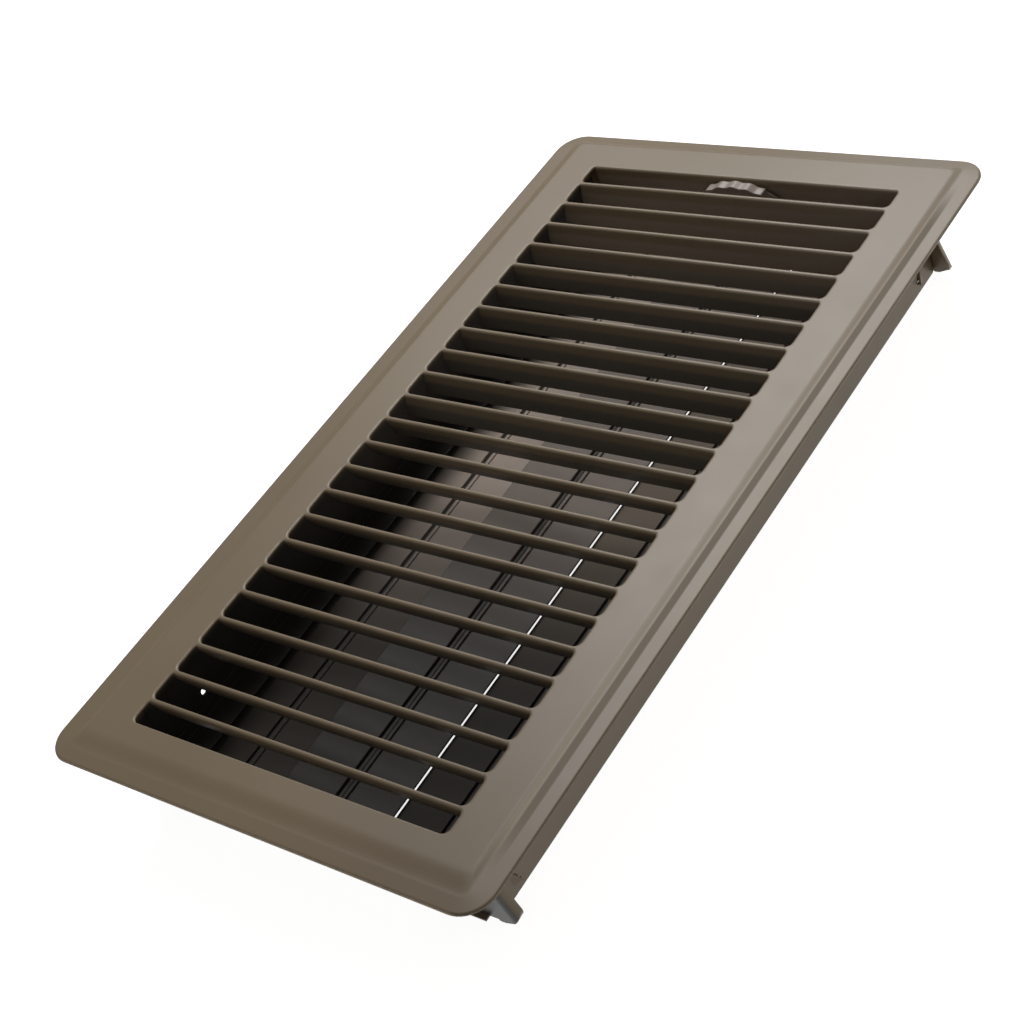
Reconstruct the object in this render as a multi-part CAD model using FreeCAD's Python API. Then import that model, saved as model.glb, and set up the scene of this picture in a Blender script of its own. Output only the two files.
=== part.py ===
import FreeCAD, Part
import os
from math import atan2, ceil, cos, degrees, floor, pi, radians, sin, sqrt

# Floor register, millimetres. +X to the right, +Y to the thumb wheel end, +Z up.
# The origin is the middle of the floor opening, on the floor that the rim rests on.

V = FreeCAD.Vector
X_AXIS, Y_AXIS = V(1, 0, 0), V(0, 1, 0)

# Faceplate
PLATE_WIDTH = 191.6
PLATE_LENGTH = 342.4
PLATE_CORNER = 11.0
FACE_SHEET = 0.8
FACE_TOP = 2.0
RIM_TOP = 0.9
RIM_ROUND = 0.85
BAND_TOP = 1.25
BAND_SIDE_INSET = 7.3
BAND_FAR_INSET = 4.2
BAND_NEAR_INSET = 5.5
FACE_SIDE_INSET = 11.6
FACE_FAR_INSET = 7.0
FACE_NEAR_INSET = 13.9
FACE_CORNER = 2.5
EDGE_LEVELS = 4
STEP_LEVELS = 8

# Slots and the fins bent down out of them
FIN_PITCH = 12.7
SLOT_FIELD_MARGIN = 18.8
SLOT_SIDE_MARGIN = 26.45
SLOT_CORNER = 2.7
SLOT_SIDE_ROLL = 0.32
SLOT_END_ROLL = 1.1
SLOT_ROLL_DEPTH = 0.5
SLOT_ROLL_STEPS = 4
LAND_WIDTH = 1.9
LAND_SHIFT = 0.3
FIN_DEPTH = 8.2
FIN_BEND = 1.2
FIN_LEAN = 15.2
MIDDLE_FIN_LEAN = 9.0
FIRST_FIN_LEAN = 0.0
FIN_END_GAP = 0.3
FIN_CORNER = 1.5
FIRST_FIN_INSET = 1.35
LAST_EDGE_INSET = 2.8

# Damper box
SIDE_OVERHANG = 21.1
END_OVERHANG = 20.0
BOX_SHEET = 0.8
END_DEPTH = 38.2
RAIL_LIFT = 0.8
RAIL_END_GAP = 0.7
RAIL_CORNER = 1.2
WELD_FLANGE = 5.0
END_SIDE_FLANGE = 9.0
END_FOOT = 1.8
FOOT_SIDE_INSET = 4.5
EAR_FLANGE = 3.6
EAR_BEND = 3.0
EAR_TOP_OUT = 1.6
EAR_TIP_OUT = 8.2
EAR_TIP_LIFT = 5.8
EAR_NOSE_OUT = 6.0
EAR_NOSE_LIFT = 1.6
EAR_TIP_ROUND = 0.4
EAR_HEEL_OUT = 1.8
RAIL_HOLE = 2.8
RAIL_HOLE_INSET = 31.1
RAIL_HOLE_DEPTH = 20.6
BARB_INSET = 11.2
BARB_LIFT = 3.4
BARB_HEIGHT = 8.6
BARB_WIDTH = 4.0
BARB_ANGLE = 22.0

# Damper blades and their rods
BLADE_SIDE_GAP = 7.9
BLADE_LAP = 0.2
BLADE_SHEET = 0.6
BLADE_ROUND = 0.25
BLADE_RISE = 1.8
BLADE_FAR_GAP = 8.2
BLADE_NEAR_GAP = 1.7
HEM_WIDTH = 1.5
SIDE_AXIS_LIFT = 6.3
CENTRE_AXIS_RISE = 1.7
REST_ANGLE = 6.0
OPEN_ANGLE = 58.0
ROD_DIAMETER = 3.0
ROD_IN_BLADE = 0.05
ROD_IN_HOLE = 0.075
ROD_FAR_TAIL = 1.7

# Stop strips over the left blade's edge and under the right one's
STOP_SHEET = 0.6
LEFT_STOP_LAP = 4.3
RIGHT_STOP_GAP = 0.9
STOP_HEIGHT = 4.0
STOP_END_GAP = 1.5
LEFT_STOP_RISE = 3.2
RIGHT_STOP_DROP = 1.3

# Linkage outside the near end plate
CRANK_RADIUS = 5.0
CRANK_THICK = 1.2
CRANK_WIDTH = 3.4
CRANK_GAP = 0.2
CRANK_PIN = 1.6
PIN_SLOT_PLAY = 0.15
BAR_THICK = 0.8
BAR_GAP = 0.1
BAR_WALL = 1.3
BAR_END = 3.0
BAR_CORNER = 1.5
PIN_PROUD = 0.4
GUIDE_X = 22.0
GUIDE_DIAMETER = 3.0
GUIDE_PLAY = 0.1
GUIDE_ABOVE_PINS = 5.3
GUIDE_HEAD = 6.0
GUIDE_HEAD_THICK = 0.7
LUG_WALL = 2.0

# Thumb wheel, its spring and the rod retainers
WHEEL_BELOW_FACE = 0.2
WHEEL_SHEET = 0.8
WHEEL_END_GAP = 2.4
WHEEL_RIM = 4.0
WHEEL_RIM_ANGLE = 25.0
WHEEL_DISC_ANGLE = 38.0
WHEEL_HUB = 6.0
WAVE_HEIGHT = 0.3
WAVE_ANGLE = 12.5
WAVE_STEPS = 8
SPRING_SHEET = 0.4
SPRING_DIAMETER = 10.0
SPRING_BORE = 3.6
SPRING_GAP = 0.1
CLIP_DIAMETER = 8.0
CLIP_THICK = 0.5
CLIP_GAP = 0.1
CLIP_TEETH = 4
CLIP_NOTCH = 0.6
CLIP_NOTCH_LENGTH = 1.7

FACE_UNDER = FACE_TOP - FACE_SHEET
WALL_OUT = PLATE_WIDTH / 2 - SIDE_OVERHANG
WALL_IN = WALL_OUT - BOX_SHEET
END_INNER = PLATE_LENGTH / 2 - END_OVERHANG
END_OUTER = END_INNER + BOX_SHEET
HALF_SLOT = PLATE_WIDTH / 2 - SLOT_SIDE_MARGIN
LITTLE = 0.01
PAST = 1.0
SLOT_COUNT = 2 * floor((PLATE_LENGTH / 2 - SLOT_FIELD_MARGIN) / FIN_PITCH + LITTLE)
FIRST_LAND_Y = SLOT_COUNT / 2 * FIN_PITCH
LAND_BEND_Y = FIN_BEND - LAND_WIDTH / 2
BLADE_SPACING = 2 * (WALL_IN - BLADE_SIDE_GAP) / 3
BLADE_HALF_WIDTH = (BLADE_SPACING + BLADE_LAP) / 2
BLADE_NEAR_END = BLADE_NEAR_GAP - END_INNER
BLADE_FAR_END = END_INNER - BLADE_FAR_GAP
END_BOTTOM = FACE_TOP - END_DEPTH
RAIL_BOTTOM = END_BOTTOM + RAIL_LIFT
SIDE_AXIS_Z = END_BOTTOM + SIDE_AXIS_LIFT
CENTRE_AXIS_Z = SIDE_AXIS_Z + CENTRE_AXIS_RISE
WHEEL_RADIUS = FACE_TOP - WHEEL_BELOW_FACE - WAVE_HEIGHT - WHEEL_SHEET / 2 - CENTRE_AXIS_Z
CRANK_MID_ANGLE = OPEN_ANGLE / 2 - REST_ANGLE
BAR_FAR_Y = -(END_OUTER + CRANK_GAP + CRANK_THICK + BAR_GAP)
BAR_NEAR_Y = BAR_FAR_Y - BAR_THICK
WHEEL_FAR = END_INNER - WHEEL_END_GAP


def depth(below_face):
    return FACE_TOP - below_face


def box(x0, x1, y0, y1, z0, z1):
    return Part.makeBox(x1 - x0, y1 - y0, z1 - z0, V(x0, y0, z0))


def cylinder_y(radius, y0, y1, x, z):
    return Part.makeCylinder(radius, y1 - y0, V(x, y0, z), Y_AXIS)


def arc(start, middle, end):
    return Part.Arc(start, middle, end).toShape()


def outline(points):
    return Part.Face(Part.makePolygon(points + [points[0]]))


def rounded_wire(half_x, y0, y1, radius, z):
    """Rounded rectangle in a level plane, symmetric in X."""
    k = radius * (1 - sqrt(0.5))
    edges = []
    corners = [(half_x, y0, 1, -1), (half_x, y1, 1, 1), (-half_x, y1, -1, 1), (-half_x, y0, -1, -1)]
    points = []
    for x, y, sx, sy in corners:
        along_x = V(x - sx * radius, y, z)
        middle = V(x - sx * k, y - sy * k, z)
        along_y = V(x, y - sy * radius, z)
        first, last = (along_x, along_y) if sx * sy < 0 else (along_y, along_x)
        points.append((first, middle, last))
    for i, (first, middle, last) in enumerate(points):
        edges.append(arc(first, middle, last))
        edges.append(Part.makeLine(last, points[(i + 1) % 4][0]))
    return Part.Wire(edges)


def rounded_block(half_x, y0, y1, radius, z0, z1):
    face = Part.Face(rounded_wire(half_x, y0, y1, radius, z0))
    return face.extrude(V(0, 0, z1 - z0))


def rim_ring(z, side_inset, near_inset, far_inset):
    """Outline of the plate at one height, by its distances in from the sides and from both ends."""
    y0, y1 = near_inset - PLATE_LENGTH / 2, PLATE_LENGTH / 2 - far_inset
    return rounded_wire(PLATE_WIDTH / 2 - side_inset, y0, y1, max(PLATE_CORNER - side_inset, FACE_CORNER), z)


def step_rings(drop):
    """Outlines from the rim's sloping band up the S-shaped step to the face."""
    rings = []
    for step in range(STEP_LEVELS + 1):
        share = step / STEP_LEVELS
        z = BAND_TOP + (FACE_TOP - BAND_TOP) * (1 - cos(pi * share)) / 2 - drop
        insets = [foot + (top - foot) * share for foot, top in (
            (BAND_SIDE_INSET, FACE_SIDE_INSET), (BAND_NEAR_INSET, FACE_NEAR_INSET),
            (BAND_FAR_INSET, FACE_FAR_INSET))]
        rings.append(rim_ring(z, *insets))
    return rings


def pan():
    """Faceplate before its slots: a shallow pan of one thickness with a rounded edge."""
    outer = [rim_ring(0, 0, 0, 0)]
    for step in range(EDGE_LEVELS + 1):
        turn = pi / 2 * step / EDGE_LEVELS
        out = RIM_ROUND * (1 - cos(turn))
        outer.append(rim_ring(RIM_TOP - RIM_ROUND * (1 - sin(turn)), out, out, out))
    inner = [rim_ring(z, FACE_SHEET, FACE_SHEET, FACE_SHEET) for z in (-PAST, RIM_TOP - FACE_SHEET)]
    outer = Part.makeLoft(outer + step_rings(0), True, True)
    return outer.cut(Part.makeLoft(inner + step_rings(FACE_SHEET), True, True))


def land_y(index):
    """Middle of the strip that carries a fin. Strip 0 is the far edge of the slot field."""
    return FIRST_LAND_Y - LAND_SHIFT - index * FIN_PITCH


def bend_y(index):
    """Where the top of the strip starts to bend down into its fin."""
    if index == 0:
        return FIRST_LAND_Y - FIRST_FIN_INSET
    return land_y(index) + LAND_BEND_Y


def slot_cutter(index):
    """One slot, with its top edges rolled over: gently along the sides and wide at both ends."""
    far = bend_y(index)
    near = land_y(index + 1) + LAND_WIDTH / 2
    if index == SLOT_COUNT - 1:
        near = -FIRST_LAND_Y + LAST_EDGE_INSET
    levels = [(0.0, FACE_UNDER - PAST)]
    for step in range(SLOT_ROLL_STEPS + 1):
        turn = pi / 2 * step / SLOT_ROLL_STEPS
        levels.append((1 - cos(turn), FACE_TOP - SLOT_ROLL_DEPTH * (1 - sin(turn))))
    levels.append((1.0, FACE_TOP + PAST))
    rings = []
    for share, z in levels:
        side, end = SLOT_SIDE_ROLL * share, SLOT_END_ROLL * share
        rings.append(rounded_wire(HALF_SLOT + end, near - side, far + side, SLOT_CORNER + side, z))
    return Part.makeLoft(rings, True, True)


def fin_lean(index):
    """The two halves of the grille throw the air both ways. The middle fin leans less, and the first
    one stands upright beside the thumb wheel."""
    middle = SLOT_COUNT // 2
    if index == 0:
        return radians(FIRST_FIN_LEAN)
    if index == middle:
        return radians(-MIDDLE_FIN_LEAN)
    return radians(FIN_LEAN if index < middle else -FIN_LEAN)


def fin(index):
    """One flap, bent down from the far edge of its slot."""
    lean = fin_lean(index)
    y, top = bend_y(index), FACE_TOP
    root = y + SLOT_SIDE_ROLL
    inner_bend = FIN_BEND - FACE_SHEET
    centre = V(0, y, top - FIN_BEND)
    normal = V(0, -cos(lean), sin(lean))
    down = V(0, -sin(lean), -cos(lean))
    half_turn = V(0, -sin(pi / 4 - lean / 2), cos(pi / 4 - lean / 2))
    outer_end = centre + normal * FIN_BEND
    inner_end = centre + normal * inner_bend
    leg = (outer_end.z - depth(FIN_DEPTH)) / cos(lean)
    section = Part.Wire([
        arc(V(0, y, top), centre + half_turn * FIN_BEND, outer_end),
        Part.makeLine(outer_end, outer_end + down * leg),
        Part.makeLine(outer_end + down * leg, inner_end + down * leg),
        Part.makeLine(inner_end + down * leg, inner_end),
        arc(inner_end, centre + half_turn * inner_bend, V(0, y, top - FACE_SHEET)),
        Part.makeLine(V(0, y, top - FACE_SHEET), V(0, root, top - FACE_SHEET)),
        Part.makeLine(V(0, root, top - FACE_SHEET), V(0, root, top)),
        Part.makeLine(V(0, root, top), V(0, y, top)),
    ])
    half = HALF_SLOT - FIN_END_GAP
    section.translate(V(-half, 0, 0))
    flap = Part.Face(section).extrude(V(2 * half, 0, 0))
    low = (outer_end + down * leg).z
    tips = [e for e in flap.Edges
            if e.BoundBox.XLength < LITTLE and abs(e.Length - FACE_SHEET) < LITTLE
            and e.BoundBox.ZMax < low + FACE_SHEET]
    flap = flap.makeFillet(FIN_CORNER, tips)
    trim = rounded_block(half, land_y(index + 1), root, SLOT_CORNER - FIN_END_GAP, low - PAST, top)
    return flap.common(trim)


def faceplate():
    plate = pan().cut(Part.makeCompound([slot_cutter(i) for i in range(SLOT_COUNT)]))
    return plate.fuse([fin(i) for i in range(SLOT_COUNT)]).removeSplitter()


def side_rail(side):
    """Box wall with a weld flange under the face and rounded lower corners."""
    half = END_INNER - RAIL_END_GAP
    wall = box(WALL_IN, WALL_OUT, -half, half, RAIL_BOTTOM, FACE_UNDER)
    corners = [e for e in wall.Edges
               if abs(e.BoundBox.XLength - BOX_SHEET) < LITTLE and e.BoundBox.ZMax < RAIL_BOTTOM + LITTLE
               and e.BoundBox.YLength < LITTLE]
    wall = wall.makeFillet(RAIL_CORNER, corners)
    flange_y = END_OUTER - EAR_FLANGE - RAIL_END_GAP
    wall = wall.fuse(box(WALL_OUT, WALL_OUT + WELD_FLANGE, -flange_y, flange_y,
                         FACE_UNDER - BOX_SHEET, FACE_UNDER))
    for end in (-1, 1):
        start = V(WALL_IN - PAST, end * (END_INNER - RAIL_HOLE_INSET), depth(RAIL_HOLE_DEPTH))
        wall = wall.cut(Part.makeCylinder(RAIL_HOLE / 2, BOX_SHEET + 2 * PAST, start, X_AXIS))
        window, flap = barb(end)
        wall = wall.cut(window).fuse(flap)
    wall = wall.removeSplitter()
    return wall if side > 0 else wall.mirror(V(0, 0, 0), X_AXIS)


def barb(end):
    """Window and flap of a small triangle that is lanced out of the wall to grip the duct."""
    y, low = end * (END_INNER - BARB_INSET), RAIL_BOTTOM + BARB_LIFT
    hinge, free = y + end * BARB_WIDTH / 2, y - end * BARB_WIDTH / 2
    triangle = outline([V(WALL_IN, hinge, low + BARB_HEIGHT), V(WALL_IN, hinge, low), V(WALL_IN, free, low)])
    window = triangle.extrude(V(BOX_SHEET, 0, 0))
    flap = window.copy()
    flap.rotate(V(WALL_IN, hinge, 0), V(0, 0, 1), end * BARB_ANGLE)
    return window, flap


def blade_axes():
    """Name, X and Z of the three rods, and the way each turns to open."""
    return [("left", -BLADE_SPACING, SIDE_AXIS_Z, -1),
            ("centre", 0.0, CENTRE_AXIS_Z, 1),
            ("right", BLADE_SPACING, SIDE_AXIS_Z, -1)]


def ear(end):
    """Right-hand ear of an end plate: it widens downwards and is bent back along the rail."""
    run = EAR_TIP_OUT - EAR_TOP_OUT
    tip_z, nose_z = END_BOTTOM + EAR_TIP_LIFT, END_BOTTOM + EAR_NOSE_LIFT
    fall = FACE_UNDER - tip_z
    drop = FACE_UNDER - END_BOTTOM
    x, y, z = WALL_OUT + EAR_TOP_OUT, END_OUTER, FACE_UNDER
    inside = WALL_IN - run - BOX_SHEET
    back = y - EAR_FLANGE
    bend_in = EAR_BEND - BOX_SHEET
    k = 1 - sqrt(0.5)
    bend_outer = arc(V(x, y - EAR_BEND, z), V(x - EAR_BEND * k, y - EAR_BEND * k, z), V(x - EAR_BEND, y, z))
    bend_inner = arc(V(x - EAR_BEND, y - BOX_SHEET, z),
                     V(x - BOX_SHEET - bend_in * k, y - BOX_SHEET - bend_in * k, z),
                     V(x - BOX_SHEET, y - EAR_BEND, z))
    section = Part.Wire([
        Part.makeLine(V(x, back, z), V(x, y - EAR_BEND, z)), bend_outer,
        Part.makeLine(V(x - EAR_BEND, y, z), V(inside, y, z)),
        Part.makeLine(V(inside, y, z), V(inside, y - BOX_SHEET, z)),
        Part.makeLine(V(inside, y - BOX_SHEET, z), V(x - EAR_BEND, y - BOX_SHEET, z)), bend_inner,
        Part.makeLine(V(x - BOX_SHEET, y - EAR_BEND, z), V(x - BOX_SHEET, back, z)),
        Part.makeLine(V(x - BOX_SHEET, back, z), V(x, back, z)),
    ])
    sheet = Part.Face(section).extrude(V(run * drop / fall, 0, -drop))
    heel = WALL_OUT + EAR_HEEL_OUT
    start = back - PAST
    tip, nose = V(WALL_OUT + EAR_TIP_OUT, start, tip_z), V(WALL_OUT + EAR_NOSE_OUT, start, nose_z)
    bulge = V(WALL_OUT + EAR_TIP_OUT - EAR_TIP_ROUND, start, (tip_z + nose_z) / 2)
    corners = [nose, V(heel, start, END_BOTTOM), V(WALL_OUT, start, END_BOTTOM),
               V(WALL_IN - BOX_SHEET, start, RAIL_BOTTOM), V(inside, start, RAIL_BOTTOM),
               V(inside, start, z + PAST), V(heel + EAR_TIP_OUT, start, z + PAST),
               V(heel + EAR_TIP_OUT, start, tip_z), tip]
    edges = [Part.makeLine(a, b) for a, b in zip(corners, corners[1:])]
    trim = Part.Face(Part.Wire([arc(tip, bulge, nose)] + edges))
    sheet = sheet.common(trim.extrude(V(0, EAR_FLANGE + 2 * PAST, 0)))
    return sheet if end > 0 else sheet.mirror(V(0, 0, 0), Y_AXIS)


def end_plate(end):
    """Cross wall of the box: side flanges welded to the rails, two ears, and a foot turned outwards."""
    foot = WALL_OUT - FOOT_SIDE_INSET
    y0, y1 = sorted((end * END_INNER, end * END_OUTER))
    plate = box(-WALL_IN, WALL_IN, y0, y1, RAIL_BOTTOM, FACE_UNDER)
    plate = plate.fuse(box(-foot, foot, y0, y1, END_BOTTOM, FACE_UNDER))
    plate = plate.fuse([ear(end), ear(end).mirror(V(0, 0, 0), X_AXIS)])
    f0, f1 = sorted((end * (END_OUTER - END_SIDE_FLANGE), end * END_OUTER))
    for x in (-WALL_IN, WALL_IN - BOX_SHEET):
        plate = plate.fuse(box(x, x + BOX_SHEET, f0, f1, RAIL_BOTTOM, FACE_UNDER))
    h0, h1 = sorted((end * END_OUTER, end * (END_OUTER + END_FOOT)))
    plate = plate.fuse(box(-foot, foot, h0, h1, END_BOTTOM, END_BOTTOM + BOX_SHEET))
    w0, w1 = sorted((end * END_OUTER, end * (END_OUTER + WELD_FLANGE)))
    plate = plate.fuse(box(-HALF_SLOT, HALF_SLOT, w0, w1, FACE_UNDER - BOX_SHEET, FACE_UNDER))
    for name, x, z, way in blade_axes():
        plate = plate.cut(cylinder_y(ROD_DIAMETER / 2 + ROD_IN_HOLE, y0 - PAST, y1 + PAST, x, z))
    if end < 0:
        for x in (-GUIDE_X, GUIDE_X):
            plate = plate.cut(cylinder_y(GUIDE_DIAMETER / 2, y0 - PAST, y1 + PAST, x, guide_z()))
    return plate.removeSplitter()


def stop_strip(side):
    """Angle strip on the box wall, over the left blade's edge or under the right one's."""
    z = SIDE_AXIS_Z + (LEFT_STOP_RISE if side < 0 else -RIGHT_STOP_DROP)
    reach = BLADE_SIDE_GAP + (LEFT_STOP_LAP if side < 0 else -RIGHT_STOP_GAP)
    half = END_OUTER - END_SIDE_FLANGE - STOP_END_GAP
    shelf = box(WALL_IN - reach, WALL_IN, -half, half, z - STOP_SHEET, z)
    leg_z = z if side < 0 else z - STOP_SHEET
    leg = box(WALL_IN - STOP_SHEET, WALL_IN, -half, half, leg_z, leg_z + STOP_HEIGHT)
    strip = shelf.fuse(leg).removeSplitter()
    return strip if side > 0 else strip.mirror(V(0, 0, 0), X_AXIS)


def turned(shape, x, z, angle):
    """Turned about a rod. Positive opens to the right, as seen from the near end."""
    shape.rotate(V(x, 0, z), Y_AXIS, angle)
    return shape


def blade(x, z, way):
    """Flat blade with a pressed channel that the rod lies in, hemmed along the channel's right side."""
    top, under = z + BLADE_RISE, z + BLADE_RISE - BLADE_SHEET
    inner = ROD_DIAMETER / 2 + ROD_IN_BLADE
    outer = inner + BLADE_SHEET
    half, hem = BLADE_HALF_WIDTH, top + BLADE_SHEET

    def p(dx, height):
        return V(x + dx, BLADE_NEAR_END, height)

    left = [p(outer, z), p(outer, under), p(half, under), p(half, top), p(inner + HEM_WIDTH, top),
            p(inner + HEM_WIDTH, hem), p(inner, hem), p(inner, z)]
    right = [p(-inner, z), p(-inner, top), p(-half, top), p(-half, under), p(-outer, under), p(-outer, z)]
    edges = [Part.makeLine(a, b) for chain in (left, right) for a, b in zip(chain, chain[1:])]
    edges.append(arc(p(-inner, z), p(0, z - inner), p(inner, z)))
    edges.append(arc(p(outer, z), p(0, z - outer), p(-outer, z)))
    wire = Part.Wire(Part.__sortEdges__(edges))
    sheet = Part.Face(wire).extrude(V(0, BLADE_FAR_END - BLADE_NEAR_END, 0))
    mouth = [(-inner, top), (inner, hem), (inner + HEM_WIDTH, hem)]
    rounds = [e for e in sheet.Edges
              if e.BoundBox.YLength > BLADE_FAR_END
              and any(abs(e.BoundBox.XMin - x - dx) < LITTLE and abs(e.BoundBox.ZMin - height) < LITTLE
                      for dx, height in mouth)]
    sheet = sheet.makeFillet(BLADE_ROUND, rounds)
    return turned(sheet, x, z, way * REST_ANGLE)


def crank_pin_at(x, z, way):
    """Place of a crank pin at rest: left of the centre rod, right of the side rods."""
    angle = radians(CRANK_MID_ANGLE)
    return x - way * CRANK_RADIUS * cos(angle), z - CRANK_RADIUS * sin(angle)


def pins_z():
    return crank_pin_at(BLADE_SPACING, SIDE_AXIS_Z, -1)[1]


def guide_z():
    return pins_z() + GUIDE_ABOVE_PINS


def rod(x, z, way):
    """Steel rod with its near end cranked and turned into a pin."""
    radius = ROD_DIAMETER / 2
    arm_far = -(END_OUTER + CRANK_GAP)
    arm_near = arm_far - CRANK_THICK
    body = cylinder_y(radius, arm_near, END_OUTER + ROD_FAR_TAIL, x, z)
    pin_x, pin_z = crank_pin_at(x, z, way)
    arm = cylinder_y(CRANK_WIDTH / 2, arm_near, arm_far, x, z)
    arm = arm.fuse(cylinder_y(CRANK_WIDTH / 2, arm_near, arm_far, pin_x, pin_z))
    slope = degrees(atan2(pin_z - z, pin_x - x))
    web = box(x, x + CRANK_RADIUS, arm_near, arm_far, z - CRANK_WIDTH / 2, z + CRANK_WIDTH / 2)
    web.rotate(V(x, 0, z), Y_AXIS, -slope)
    pin = cylinder_y(CRANK_PIN / 2, BAR_NEAR_Y - PIN_PROUD, arm_near, pin_x, pin_z)
    return body.fuse([arm, web, pin]).removeSplitter()


def bar_travel(angle):
    """Lift of the link bar for an opening angle, from the angle where the cranks lie level."""
    return CRANK_RADIUS * sin(radians(angle - OPEN_ANGLE / 2))


def link_bar():
    """Bar that rises and falls on two rivets and carries a level slot for each crank pin."""
    play = CRANK_PIN / 2 + PIN_SLOT_PLAY
    centre_pin_z = crank_pin_at(0, CENTRE_AXIS_Z, 1)[1]
    low, high = pins_z() - play - BAR_WALL, centre_pin_z + play + BAR_WALL
    half = BLADE_SPACING + CRANK_RADIUS + BAR_END
    bar = box(-half, half, BAR_NEAR_Y, BAR_FAR_Y, low, high)
    up = bar_travel(OPEN_ANGLE) - bar_travel(REST_ANGLE)
    down = bar_travel(REST_ANGLE) - bar_travel(0)
    width = GUIDE_DIAMETER / 2 + GUIDE_PLAY
    slot_low = guide_z() - up - GUIDE_PLAY
    slot_high = guide_z() + down + GUIDE_PLAY
    for x in (-GUIDE_X, GUIDE_X):
        lug = box(x - width - LUG_WALL, x + width + LUG_WALL, BAR_NEAR_Y, BAR_FAR_Y, low, slot_high + width)
        bar = bar.fuse(lug).fuse(cylinder_y(width + LUG_WALL, BAR_NEAR_Y, BAR_FAR_Y, x, slot_high))
    for x in (-GUIDE_X, GUIDE_X):
        bar = bar.cut(long_hole(x, x, slot_low, slot_high, width))
    swing = CRANK_RADIUS * (1 - cos(radians(OPEN_ANGLE / 2))) / 2
    for name, x, z, way in blade_axes():
        middle = x - way * (CRANK_RADIUS - swing)
        pin_z = crank_pin_at(x, z, way)[1]
        reach = swing + PIN_SLOT_PLAY
        bar = bar.cut(long_hole(middle - reach, middle + reach, pin_z, pin_z, play))
    corners = [e for e in bar.Edges
               if abs(e.Length - BAR_THICK) < LITTLE and abs(abs(e.BoundBox.XMin) - half) < LITTLE]
    return bar.makeFillet(BAR_CORNER, corners).removeSplitter()


def long_hole(x0, x1, z0, z1, radius):
    """Cutter with round ends, level or upright, through the link bar."""
    y0, y1 = BAR_NEAR_Y - PAST, BAR_FAR_Y + PAST
    cutter = cylinder_y(radius, y0, y1, x0, z0).fuse(cylinder_y(radius, y0, y1, x1, z1))
    if x1 > x0:
        return cutter.fuse(box(x0, x1, y0, y1, z0 - radius, z0 + radius))
    return cutter.fuse(box(x0 - radius, x0 + radius, y0, y1, z0, z1))


def guide_rivets():
    rivets = []
    for x in (-GUIDE_X, GUIDE_X):
        head_y = BAR_NEAR_Y - BAR_GAP
        shank = cylinder_y(GUIDE_DIAMETER / 2, head_y, -END_INNER, x, guide_z())
        head = cylinder_y(GUIDE_HEAD / 2, head_y - GUIDE_HEAD_THICK, head_y, x, guide_z())
        tail = cylinder_y(GUIDE_HEAD / 2, -END_INNER, -END_INNER + GUIDE_HEAD_THICK, x, guide_z())
        rivets.append(shank.fuse([head, tail]).removeSplitter())
    return Part.makeCompound(rivets)


def polar(radius, angle, y):
    """Point on the wheel, by its angle from straight up towards the right."""
    a = radians(angle)
    return V(radius * sin(a), y, CENTRE_AXIS_Z + radius * cos(a))


def wave_curve(offset, y):
    """Wavy line along the wheel's rim."""
    steps = ceil(2 * WHEEL_RIM_ANGLE / WAVE_ANGLE * WAVE_STEPS)
    points = []
    for i in range(steps + 1):
        angle = WHEEL_RIM_ANGLE * (2 * i / steps - 1)
        radius = WHEEL_RADIUS + offset + WAVE_HEIGHT * cos(radians(360 * angle / WAVE_ANGLE))
        points.append(polar(radius, angle, y))
    curve = Part.BSplineCurve()
    curve.interpolate(points)
    return curve.toShape(), points[0], points[-1]


def thumb_wheel():
    """Sheet sector on the centre rod, with a corrugated rim turned towards the near end."""
    near = WHEEL_FAR - WHEEL_RIM
    disc_near = WHEEL_FAR - WHEEL_SHEET
    disc_radius = WHEEL_RADIUS - WAVE_HEIGHT
    start, middle, end = (polar(disc_radius, a, disc_near) for a in (-WHEEL_DISC_ANGLE, 0, WHEEL_DISC_ANGLE))
    centre = V(0, disc_near, CENTRE_AXIS_Z)
    sector = [arc(start, middle, end), Part.makeLine(end, centre), Part.makeLine(centre, start)]
    face = Part.Face(Part.Wire(sector))
    disc = face.extrude(V(0, WHEEL_SHEET, 0))
    disc = disc.fuse(cylinder_y(WHEEL_HUB, disc_near, WHEEL_FAR, 0, CENTRE_AXIS_Z))
    outer, outer_start, outer_end = wave_curve(WHEEL_SHEET / 2, near)
    inner, inner_start, inner_end = wave_curve(-WHEEL_SHEET / 2, near)
    ring = Part.Wire(Part.__sortEdges__([
        outer, Part.makeLine(outer_end, inner_end), inner, Part.makeLine(inner_start, outer_start)]))
    rim = Part.Face(ring).extrude(V(0, WHEEL_RIM, 0))
    bore = cylinder_y(ROD_DIAMETER / 2, near - PAST, WHEEL_FAR + PAST, 0, CENTRE_AXIS_Z)
    return disc.fuse(rim).cut(bore)


def friction_spring():
    """Bowed washer between wheel and far end plate, which holds the blades where they are set."""
    half = SPRING_DIAMETER / 2
    apex, edge = WHEEL_FAR + SPRING_GAP, END_INNER - SPRING_SHEET
    low = CENTRE_AXIS_Z - half
    near = [V(-half, edge, low), V(0, apex, low), V(half, edge, low)]
    far = [p + V(0, SPRING_SHEET, 0) for p in near]
    section = Part.Wire([arc(*near), Part.makeLine(near[2], far[2]), arc(*reversed(far)),
                         Part.makeLine(far[0], near[0])])
    bowed = Part.Face(section).extrude(V(0, 0, SPRING_DIAMETER))
    bowed = bowed.common(cylinder_y(half, WHEEL_FAR, END_INNER, 0, CENTRE_AXIS_Z))
    return bowed.cut(cylinder_y(SPRING_BORE / 2, WHEEL_FAR, END_INNER, 0, CENTRE_AXIS_Z))


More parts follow.
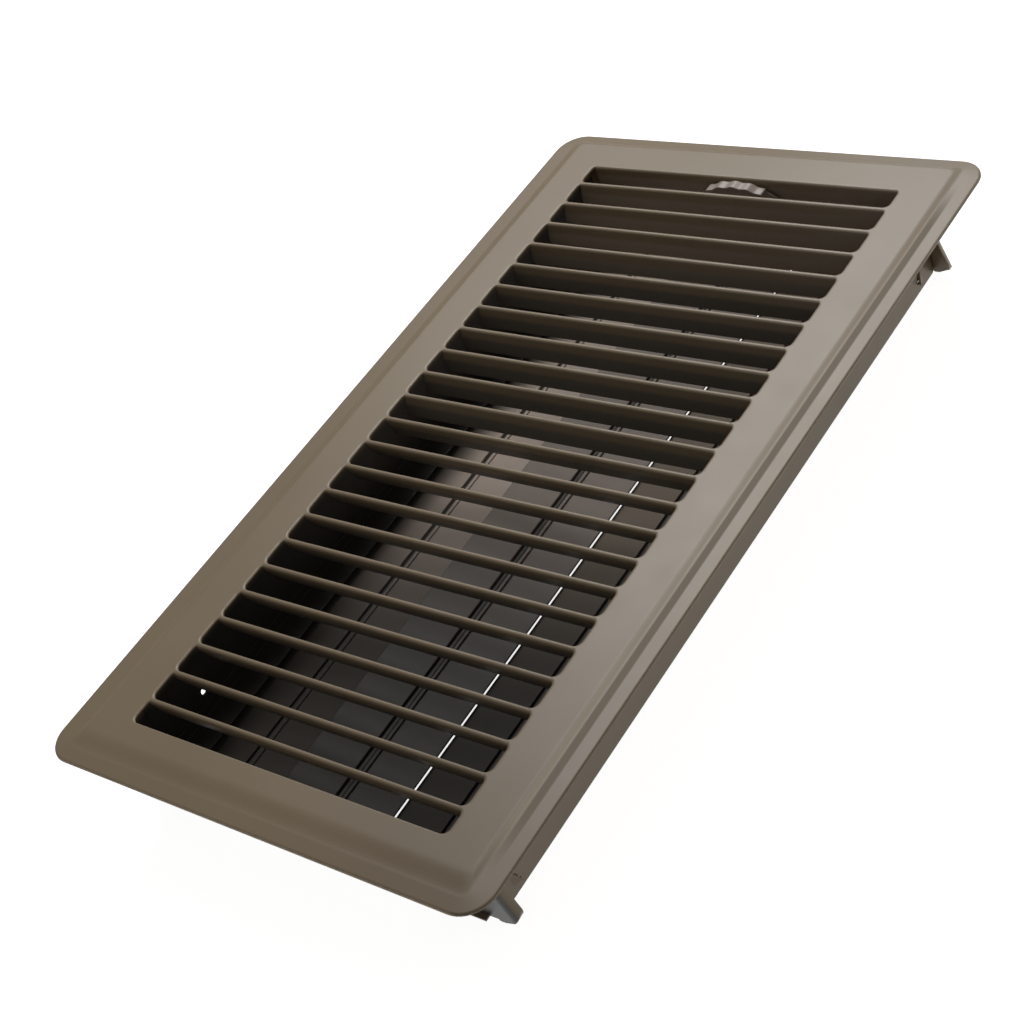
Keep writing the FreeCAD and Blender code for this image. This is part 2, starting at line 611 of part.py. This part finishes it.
def rod_clip(x, z):
    """Push-on retainer on a rod, against the far end plate."""
    y0, y1 = END_OUTER + CLIP_GAP, END_OUTER + CLIP_GAP + CLIP_THICK
    clip = cylinder_y(CLIP_DIAMETER / 2, y0, y1, x, z)
    clip = clip.cut(cylinder_y(ROD_DIAMETER / 2, y0 - PAST, y1 + PAST, x, z))
    half = CLIP_NOTCH / 2
    for i in range(CLIP_TEETH):
        notch = box(x, x + ROD_DIAMETER / 2 + CLIP_NOTCH_LENGTH, y0 - PAST, y1 + PAST, z - half, z + half)
        notch.rotate(V(x, 0, z), Y_AXIS, 45 + 360 * i / CLIP_TEETH)
        clip = clip.cut(notch)
    return clip


def write(name, shape):
    shape.exportStep(os.path.join("parts", name + ".step"))


def main():
    os.makedirs("parts", exist_ok=True)
    write("faceplate", faceplate())
    for name, side in (("left", -1), ("right", 1)):
        write("side_rail_" + name, side_rail(side))
        write("stop_strip_" + name, stop_strip(side))
    write("end_plate_far", end_plate(1))
    write("end_plate_near", end_plate(-1))
    for name, x, z, way in blade_axes():
        write("blade_" + name, blade(x, z, way))
        write("rod_" + name, rod(x, z, way))
        write("rod_clip_" + name, rod_clip(x, z))
    write("link_bar", link_bar())
    write("guide_rivets", guide_rivets())
    write("thumb_wheel", thumb_wheel())
    write("friction_spring", friction_spring())


main()
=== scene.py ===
import math

import bpy
from mathutils import Matrix, Vector


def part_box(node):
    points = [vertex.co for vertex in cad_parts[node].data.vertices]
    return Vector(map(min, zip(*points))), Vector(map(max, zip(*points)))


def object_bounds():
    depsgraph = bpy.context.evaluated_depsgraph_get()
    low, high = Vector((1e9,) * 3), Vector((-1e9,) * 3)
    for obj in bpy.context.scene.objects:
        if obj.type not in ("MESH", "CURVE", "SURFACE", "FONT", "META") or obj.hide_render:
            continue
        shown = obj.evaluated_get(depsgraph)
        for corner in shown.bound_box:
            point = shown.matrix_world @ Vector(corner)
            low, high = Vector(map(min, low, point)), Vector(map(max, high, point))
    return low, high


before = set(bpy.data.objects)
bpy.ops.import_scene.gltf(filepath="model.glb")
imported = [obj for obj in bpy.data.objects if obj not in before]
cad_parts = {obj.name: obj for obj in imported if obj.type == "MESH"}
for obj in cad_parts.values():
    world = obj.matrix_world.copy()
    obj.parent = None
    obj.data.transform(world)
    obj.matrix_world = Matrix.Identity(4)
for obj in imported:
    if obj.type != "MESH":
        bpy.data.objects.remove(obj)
cad_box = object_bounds()

# Camera of the photograph, in metres and degrees
CAMERA_PLACE = (0.4094, -0.3401, 0.4133)
CAMERA_AIM = (0.01215, -0.03033, 0.002)
CAMERA_ROLL = -26.5
CAMERA_LENS = 67.99
CAMERA_SENSOR = 36.0
CAMERA_NEAREST = 0.01

# Enamel colours, and colours of painted light and shade, linear
TAUPE = (0.310, 0.235, 0.148)
TAUPE_DARK = (0.285, 0.214, 0.132)
# Painted light on the far part of the face and painted shade on its near part
FAR_PAINTED_LIGHT = (0.385, 0.315, 0.235)
NEAR_PAINTED_SHADE = (0.240, 0.180, 0.116)
# Painted shade in the hollow and painted highlight on the crest of the right step
HOLLOW_SHADE = (0.235, 0.182, 0.128)
CREST_HIGHLIGHT = (0.385, 0.300, 0.210)
# Painted light on the near edge of the face
EDGE_PAINTED_LIGHT = (0.560, 0.430, 0.290)
# Painted shade inside the box
INSIDE_SHADE = (0.050, 0.045, 0.040)
# Painted light on the first fins and painted shade on the other fins
FIRST_FINS_PAINTED_LIGHT = (0.380, 0.315, 0.245)
OTHER_FINS_PAINTED_SHADE = (0.165, 0.146, 0.125)
# The wheel: a lighter copy of the enamel, painted light
WHEEL_PAINTED_LIGHT = (0.430, 0.360, 0.305)
WHEEL_PAINTED_LIGHT_DARK = (0.390, 0.325, 0.275)
# Near-black rods: painted shade in the blades' channels
ROD_SHADE_LIGHT = (0.030, 0.024, 0.019)
ROD_SHADE_DARK = (0.020, 0.016, 0.013)
# Lit and shaded copies of the blades' enamel: painted light and shade
BLADE_PAINTED_LIGHT = {"left": (0.600, 0.500, 0.430),
          "centre": (0.280, 0.225, 0.185),
          "right": (0.220, 0.175, 0.130)}
BLADE_CLOUD = 0.85

# Gloss of the enamel: lowest and highest roughness, and specular level
SATIN = (0.34, 0.42)
BLADE_SATIN = (0.36, 0.44)
ROD_SATIN = (0.50, 0.60)
HOLLOW_ROUGH = 0.66
ENAMEL_SHINE = 0.5
BLADE_SHINE = 0.15
ENAMEL_IOR = 1.5

# Grain of the enamel: noise scales per metre, and bump depths in metres with their strengths
CLOUD_SCALE = 14.0
CLOUD_EDGES = (0.30, 0.70)
GLOSS_SCALE = 60.0
WAVE_SCALE = 130.0
WAVE_BUMP = (0.00005, 0.25)
PEEL_SCALE = 900.0
PEEL_BUMP = (0.00001, 0.30)
EDGE_SOFTNESS = 0.0006
EDGE_SAMPLES = 6

# Zinc plate
ZINC = (0.56, 0.55, 0.52)
ZINC_DARK = (0.40, 0.39, 0.37)
ZINC_ROUGH = (0.28, 0.45)
SPANGLE_SCALE = 220.0
SPANGLE_EDGES = (0.35, 0.65)
DRAWN_SCALE = 2600.0
DRAWN_STRETCH = (1.0, 0.03, 1.0)
DRAWN_BUMP = (0.00001, 0.4)

# Painted shade inside the box: middle of its sheet, width of the border, heights where shade starts and
# is full, and where the fins' painted light turns to painted shade along Y
HALF_SHEET = 0.0004
HAIR = 0.0001
INSIDE_FROM = -0.0005
WALL_SHADED = -0.0050
FIN_SHADED = -0.0024
FIN_CHANGE = (0.106, 0.092)

# Shade by the normal's Y on the near end plate, and by place along Y and X on the blades
AWAY = (-0.35, -0.90)
BLADE_NEAR = (0.020, -0.090)
BLADE_LEFT = (-0.045, -0.066)
BLADE_SHADED = 0.95

# Painted light and shade on the face: places along X and Y, and distances in from the plate's edges
PAINTED_LIGHT_SIDE = (-0.020, 0.085)
PAINTED_LIGHT_FAR = (0.010, 0.150)
PAINTED_SHADE_NEAR = (0.010, -0.150)
HOLLOW_BAND = (0.0048, 0.0084)
CREST_BAND = (0.0078, 0.0108)
BAND_SOFTNESS = 0.0009
BAND_END = 0.0090
BAND_FADE = 0.0400
EDGE_INNER = 0.0006
EDGE_OUTER = 0.0002

# Floor, world and lamps: bearing, height and distance, then width, height and power
FLOOR_SIZE = 60.0
FLOOR_COLOUR = (0.80, 0.80, 0.79)
FLOOR_GLOW = 0.92
FLOOR_GAP = 0.0002
WORLD_LIGHT = 0.12
LAMPS = {"far_box": ((125, 49, 1.6), (0.8, 0.9, 15.0)),
         "right_fill": ((15, 7, 1.6), (1.2, 0.3, 1.8))}

BOX = ["side_rail_left", "side_rail_right", "end_plate_far", "stop_strip_left", "stop_strip_right"]
RODS = ["rod_left", "rod_centre", "rod_right"]
STEEL = ["rod_clip_left", "rod_clip_centre", "rod_clip_right", "link_bar", "guide_rivets",
         "friction_spring"]


class Nodes:
    """Shorthand for building one material. Each step returns the output socket to link on."""

    def __init__(self, name):
        self.material = bpy.data.materials.new(name)
        self.material.use_nodes = True
        self.tree = self.material.node_tree
        self.tree.nodes.clear()

    def add(self, kind, **settings):
        node = self.tree.nodes.new(kind)
        for key, value in settings.items():
            setattr(node, key, value)
        return node

    def link(self, source, target):
        self.tree.links.new(source, target)

    def where(self):
        return self.add("ShaderNodeTexCoord").outputs["Object"]

    def noise(self, where, scale, detail=2.0):
        node = self.add("ShaderNodeTexNoise")
        node.inputs["Scale"].default_value = scale
        node.inputs["Detail"].default_value = detail
        self.link(where, node.inputs["Vector"])
        return node.outputs["Fac"]

    def cloud(self, noise, edges, dark, light):
        node = self.add("ShaderNodeValToRGB")
        for element, place, colour in zip(node.color_ramp.elements, edges, (dark, light)):
            element.position = place
            element.color = (*colour, 1.0)
        self.link(noise, node.inputs["Fac"])
        return node.outputs["Color"]

    def span(self, fac, low, high):
        node = self.add("ShaderNodeMapRange")
        node.inputs["To Min"].default_value = low
        node.inputs["To Max"].default_value = high
        self.link(fac, node.inputs["Value"])
        return node.outputs["Result"]

    def bump(self, height, distance, strength, under=None):
        node = self.add("ShaderNodeBump")
        node.inputs["Distance"].default_value = distance
        node.inputs["Strength"].default_value = strength
        self.link(height, node.inputs["Height"])
        if under is not None:
            self.link(under, node.inputs["Normal"])
        return node.outputs["Normal"]

    def maths(self, operation, *values):
        """The values taken together one after another. A plain number may be among them."""
        result = values[0]
        for value in values[1:]:
            node = self.add("ShaderNodeMath", operation=operation)
            self.link(result, node.inputs[0])
            if isinstance(value, float):
                node.inputs[1].default_value = value
            else:
                self.link(value, node.inputs[1])
            result = node.outputs[0]
        return result

    def product(self, *values):
        return self.maths("MULTIPLY", *values)

    def larger(self, *values):
        return self.maths("MAXIMUM", *values)

    def blend(self, fac, first, second):
        """From the first colour to the second."""
        node = self.add("ShaderNodeMix", data_type="RGBA")
        self.link(fac, node.inputs["Factor"])
        colours = [socket for socket in node.inputs if socket.type == "RGBA"]
        for socket, colour in zip(colours, (first, second)):
            if isinstance(colour, tuple):
                socket.default_value = (*colour, 1.0)
            else:
                self.link(colour, socket)
        return next(socket for socket in node.outputs if socket.type == "RGBA")

    def along(self, where, axis, start, end, size=False):
        """0 at one place along an axis and 1 at another, or the same for the distance from the middle."""
        parts = self.add("ShaderNodeSeparateXYZ")
        self.link(where, parts.inputs[0])
        value = parts.outputs[axis]
        if size:
            distance = self.add("ShaderNodeMath", operation="ABSOLUTE")
            self.link(value, distance.inputs[0])
            value = distance.outputs[0]
        node = self.add("ShaderNodeMapRange", interpolation_type="SMOOTHSTEP")
        node.inputs["From Min"].default_value = start
        node.inputs["From Max"].default_value = end
        self.link(value, node.inputs["Value"])
        return node.outputs["Result"]

    def finish(self, surface):
        self.link(surface, self.add("ShaderNodeOutputMaterial").inputs["Surface"])
        return self.material


def inside_box(full_depth):
    """Shade on what lies inside the damper box, full from a height under the face."""
    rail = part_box("side_rail_right")
    wall, end = rail[0][0] + HALF_SHEET, rail[1][1] + HALF_SHEET

    def shade(m, where):
        return m.product(m.along(where, "X", wall + HAIR, wall, True),
                         m.along(where, "Y", end + HAIR, end, True),
                         m.along(where, "Z", INSIDE_FROM, full_depth))
    return shade


def end_shade(m, where):
    """Shade of the box's inside, and on the face turned away from every lamp."""
    normal = m.add("ShaderNodeTexCoord").outputs["Normal"]
    return m.larger(inside_box(WALL_SHADED)(m, where), m.along(normal, "Y", *AWAY))


def blade_shade(m, where):
    """The blades darken towards the near end and the left wall."""
    darker = m.larger(m.along(where, "Y", *BLADE_NEAR), m.along(where, "X", *BLADE_LEFT))
    return m.product(darker, BLADE_SHADED)


def box_inside_shade(m, where):
    return INSIDE_SHADE


def fin_painted_light_and_shade(m, where):
    """Painted light on the first few fins and painted shade on the rest."""
    return m.blend(m.along(where, "Y", *FIN_CHANGE), FIRST_FINS_PAINTED_LIGHT, OTHER_FINS_PAINTED_SHADE)


def right_band(m, where, outer, inner):
    """1 between two distances in from the plate's right edge, fading out before both ends."""
    right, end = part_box("faceplate")[1][0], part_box("faceplate")[1][1]
    return m.product(m.along(where, "X", right - inner, right - inner + BAND_SOFTNESS),
                     m.along(where, "X", right - outer, right - outer - BAND_SOFTNESS),
                     m.along(where, "Y", end - BAND_END, end - BAND_FADE, True))


def face_painted_light(m, where, colour):
    """Painted shade in the hollow and painted highlight on the crest at the right step, painted light far
    and painted shade near, painted light on the near edge.
    """
    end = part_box("faceplate")[1][1]
    side = m.along(where, "X", *PAINTED_LIGHT_SIDE)
    colour = m.blend(m.product(side, m.along(where, "Y", *PAINTED_LIGHT_FAR)), colour, FAR_PAINTED_LIGHT)
    colour = m.blend(m.product(side, m.along(where, "Y", *PAINTED_SHADE_NEAR)), colour, NEAR_PAINTED_SHADE)
    colour = m.blend(right_band(m, where, *HOLLOW_BAND), colour, HOLLOW_SHADE)
    colour = m.blend(right_band(m, where, *CREST_BAND), colour, CREST_HIGHLIGHT)
    return m.blend(m.along(where, "Y", EDGE_INNER - end, EDGE_OUTER - end), colour, EDGE_PAINTED_LIGHT)


def paint(name, light, dark, satin, shade=None, shine=ENAMEL_SHINE, shade_colour=box_inside_shade, painted_light=None):
    """Satin baked enamel: a faint cloud in the colour and a fine orange peel, with painted light and
    shade laid on where given.
    """
    m = Nodes(name)
    where = m.where()
    colour = m.cloud(m.noise(where, CLOUD_SCALE, 3.0), CLOUD_EDGES, dark, light)
    rough = m.span(m.noise(where, GLOSS_SCALE), *satin)
    if painted_light:
        colour = painted_light(m, where, colour)
        rough = m.larger(rough, m.span(right_band(m, where, *HOLLOW_BAND), satin[0], HOLLOW_ROUGH))
    if shade:
        colour = m.blend(shade(m, where), colour, shade_colour(m, where))
    soft = m.add("ShaderNodeBevel", samples=EDGE_SAMPLES)
    soft.inputs["Radius"].default_value = EDGE_SOFTNESS
    normal = m.bump(m.noise(where, WAVE_SCALE, 1.0), *WAVE_BUMP, under=soft.outputs["Normal"])
    normal = m.bump(m.noise(where, PEEL_SCALE), *PEEL_BUMP, under=normal)
    shader = m.add("ShaderNodeBsdfPrincipled")
    shader.inputs["IOR"].default_value = ENAMEL_IOR
    shader.inputs["Specular IOR Level"].default_value = shine
    m.link(colour, shader.inputs["Base Color"])
    m.link(rough, shader.inputs["Roughness"])
    m.link(normal, shader.inputs["Normal"])
    return m.finish(shader.outputs["BSDF"])


def zinc(name):
    """Zinc plated steel with fine drawn lines."""
    m = Nodes(name)
    where = m.where()
    stretch = m.add("ShaderNodeMapping")
    stretch.inputs["Scale"].default_value = DRAWN_STRETCH
    m.link(where, stretch.inputs["Vector"])
    lines = m.noise(stretch.outputs["Vector"], DRAWN_SCALE)
    colour = m.cloud(m.noise(where, SPANGLE_SCALE, 3.0), SPANGLE_EDGES, ZINC_DARK, ZINC)
    shader = m.add("ShaderNodeBsdfPrincipled")
    shader.inputs["Metallic"].default_value = 1.0
    m.link(colour, shader.inputs["Base Color"])
    m.link(m.span(lines, *ZINC_ROUGH), shader.inputs["Roughness"])
    m.link(m.bump(lines, *DRAWN_BUMP), shader.inputs["Normal"])
    return m.finish(shader.outputs["BSDF"])


def mixed(m, fac, first, second):
    """From the first shader to the second."""
    node = m.add("ShaderNodeMixShader")
    for target, source in zip(node.inputs, (fac, first, second)):
        m.link(source, target)
    return node.outputs[0]


def floor_material():
    """Pale floor that is seen as near white from above, keeps the shadow, and is clear from below."""
    m = Nodes("floor")
    diffuse = m.add("ShaderNodeBsdfDiffuse")
    diffuse.inputs["Color"].default_value = (*FLOOR_COLOUR, 1.0)
    glow = m.add("ShaderNodeEmission")
    glow.inputs["Strength"].default_value = FLOOR_GLOW
    both = m.add("ShaderNodeAddShader")
    m.link(diffuse.outputs["BSDF"], both.inputs[0])
    m.link(glow.outputs["Emission"], both.inputs[1])
    ray = m.add("ShaderNodeLightPath").outputs
    seen = m.larger(ray["Is Camera Ray"], ray["Is Transmission Ray"], ray["Is Glossy Ray"])
    above = mixed(m, seen, diffuse.outputs["BSDF"], both.outputs[0])
    under = m.add("ShaderNodeNewGeometry").outputs["Backfacing"]
    return m.finish(mixed(m, under, above, m.add("ShaderNodeBsdfTransparent").outputs["BSDF"]))


def add_floor():
    bottom = cad_box[0][2] - FLOOR_GAP
    mesh = bpy.data.meshes.new("floor")
    half = FLOOR_SIZE / 2
    corners = [(-half, -half, bottom), (half, -half, bottom),
               (half, half, bottom), (-half, half, bottom)]
    mesh.from_pydata(corners, [], [(0, 1, 2, 3)])
    mesh.materials.append(floor_material())
    floor = bpy.data.objects.new("floor", mesh)
    bpy.context.scene.collection.objects.link(floor)


def look_at(place, aim, roll=0.0):
    turn = (Vector(aim) - Vector(place)).to_track_quat("-Z", "Y").to_matrix().to_4x4()
    return Matrix.Translation(place) @ turn @ Matrix.Rotation(math.radians(roll), 4, "Z")


def on_dome(around, up, far):
    around, up = math.radians(around), math.radians(up)
    return (far * math.cos(around) * math.cos(up),
            far * math.sin(around) * math.cos(up),
            far * math.sin(up))


def add_lights():
    """Two soft lamps that face the middle of the register, and an even pale world."""
    for name, (place, (width, height, power)) in LAMPS.items():
        data = bpy.data.lights.new(name, "AREA")
        data.shape = "RECTANGLE"
        data.size = width
        data.size_y = height
        data.energy = power
        lamp = bpy.data.objects.new(name, data)
        lamp.matrix_world = look_at(on_dome(*place), (0.0, 0.0, 0.0))
        bpy.context.scene.collection.objects.link(lamp)
    world = bpy.data.worlds.new("studio")
    world.use_nodes = True
    back = world.node_tree.nodes["Background"]
    back.inputs["Color"].default_value = (1.0, 1.0, 1.0, 1.0)
    back.inputs["Strength"].default_value = WORLD_LIGHT
    bpy.context.scene.world = world


def add_camera():
    data = bpy.data.cameras.new("camera")
    data.lens = CAMERA_LENS
    data.sensor_width = CAMERA_SENSOR
    data.clip_start = CAMERA_NEAREST
    camera = bpy.data.objects.new("camera", data)
    camera.matrix_world = look_at(CAMERA_PLACE, CAMERA_AIM, CAMERA_ROLL)
    bpy.context.scene.collection.objects.link(camera)
    bpy.context.scene.camera = camera


def dress(names, material):
    for name in names:
        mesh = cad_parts[name].data
        mesh.materials.clear()
        mesh.materials.append(material)


def dress_all():
    # The face: painted light and shade on its face, and painted shade inside the box
    face = paint("face_enamel_painted_light_and_shade", TAUPE, TAUPE_DARK, SATIN, inside_box(FIN_SHADED),
                 shade_colour=fin_painted_light_and_shade, painted_light=face_painted_light)
    dress(["faceplate"], face)
    # The box and near end plate: painted shade inside the box and on the face turned away from the lamps
    dress(BOX, paint("box_enamel_painted_shade", TAUPE, TAUPE_DARK, SATIN, inside_box(WALL_SHADED)))
    dress(["end_plate_near"], paint("end_enamel_painted_shade", TAUPE, TAUPE_DARK, SATIN, end_shade))
    # The blades: lit and shaded copies of one enamel, with painted shade towards the near end and the
    # left wall
    for side, colour in BLADE_PAINTED_LIGHT.items():
        dark = tuple(BLADE_CLOUD * c for c in colour)
        enamel = paint("blade_enamel_painted_light_" + side, colour, dark, BLADE_SATIN, blade_shade, BLADE_SHINE)
        dress(["blade_" + side], enamel)
    # The wheel's lighter enamel is painted light
    dress(["thumb_wheel"], paint("wheel_enamel_painted_light", WHEEL_PAINTED_LIGHT, WHEEL_PAINTED_LIGHT_DARK, SATIN))
    # The rods' near black is painted shade in the channels
    dress(RODS, paint("rod_enamel_painted_shade", ROD_SHADE_LIGHT, ROD_SHADE_DARK, ROD_SATIN))
    dress(STEEL, zinc("zinc_plate"))


dress_all()
add_floor()
add_lights()
add_camera()
bpy.context.scene.view_settings.view_transform = "Standard"
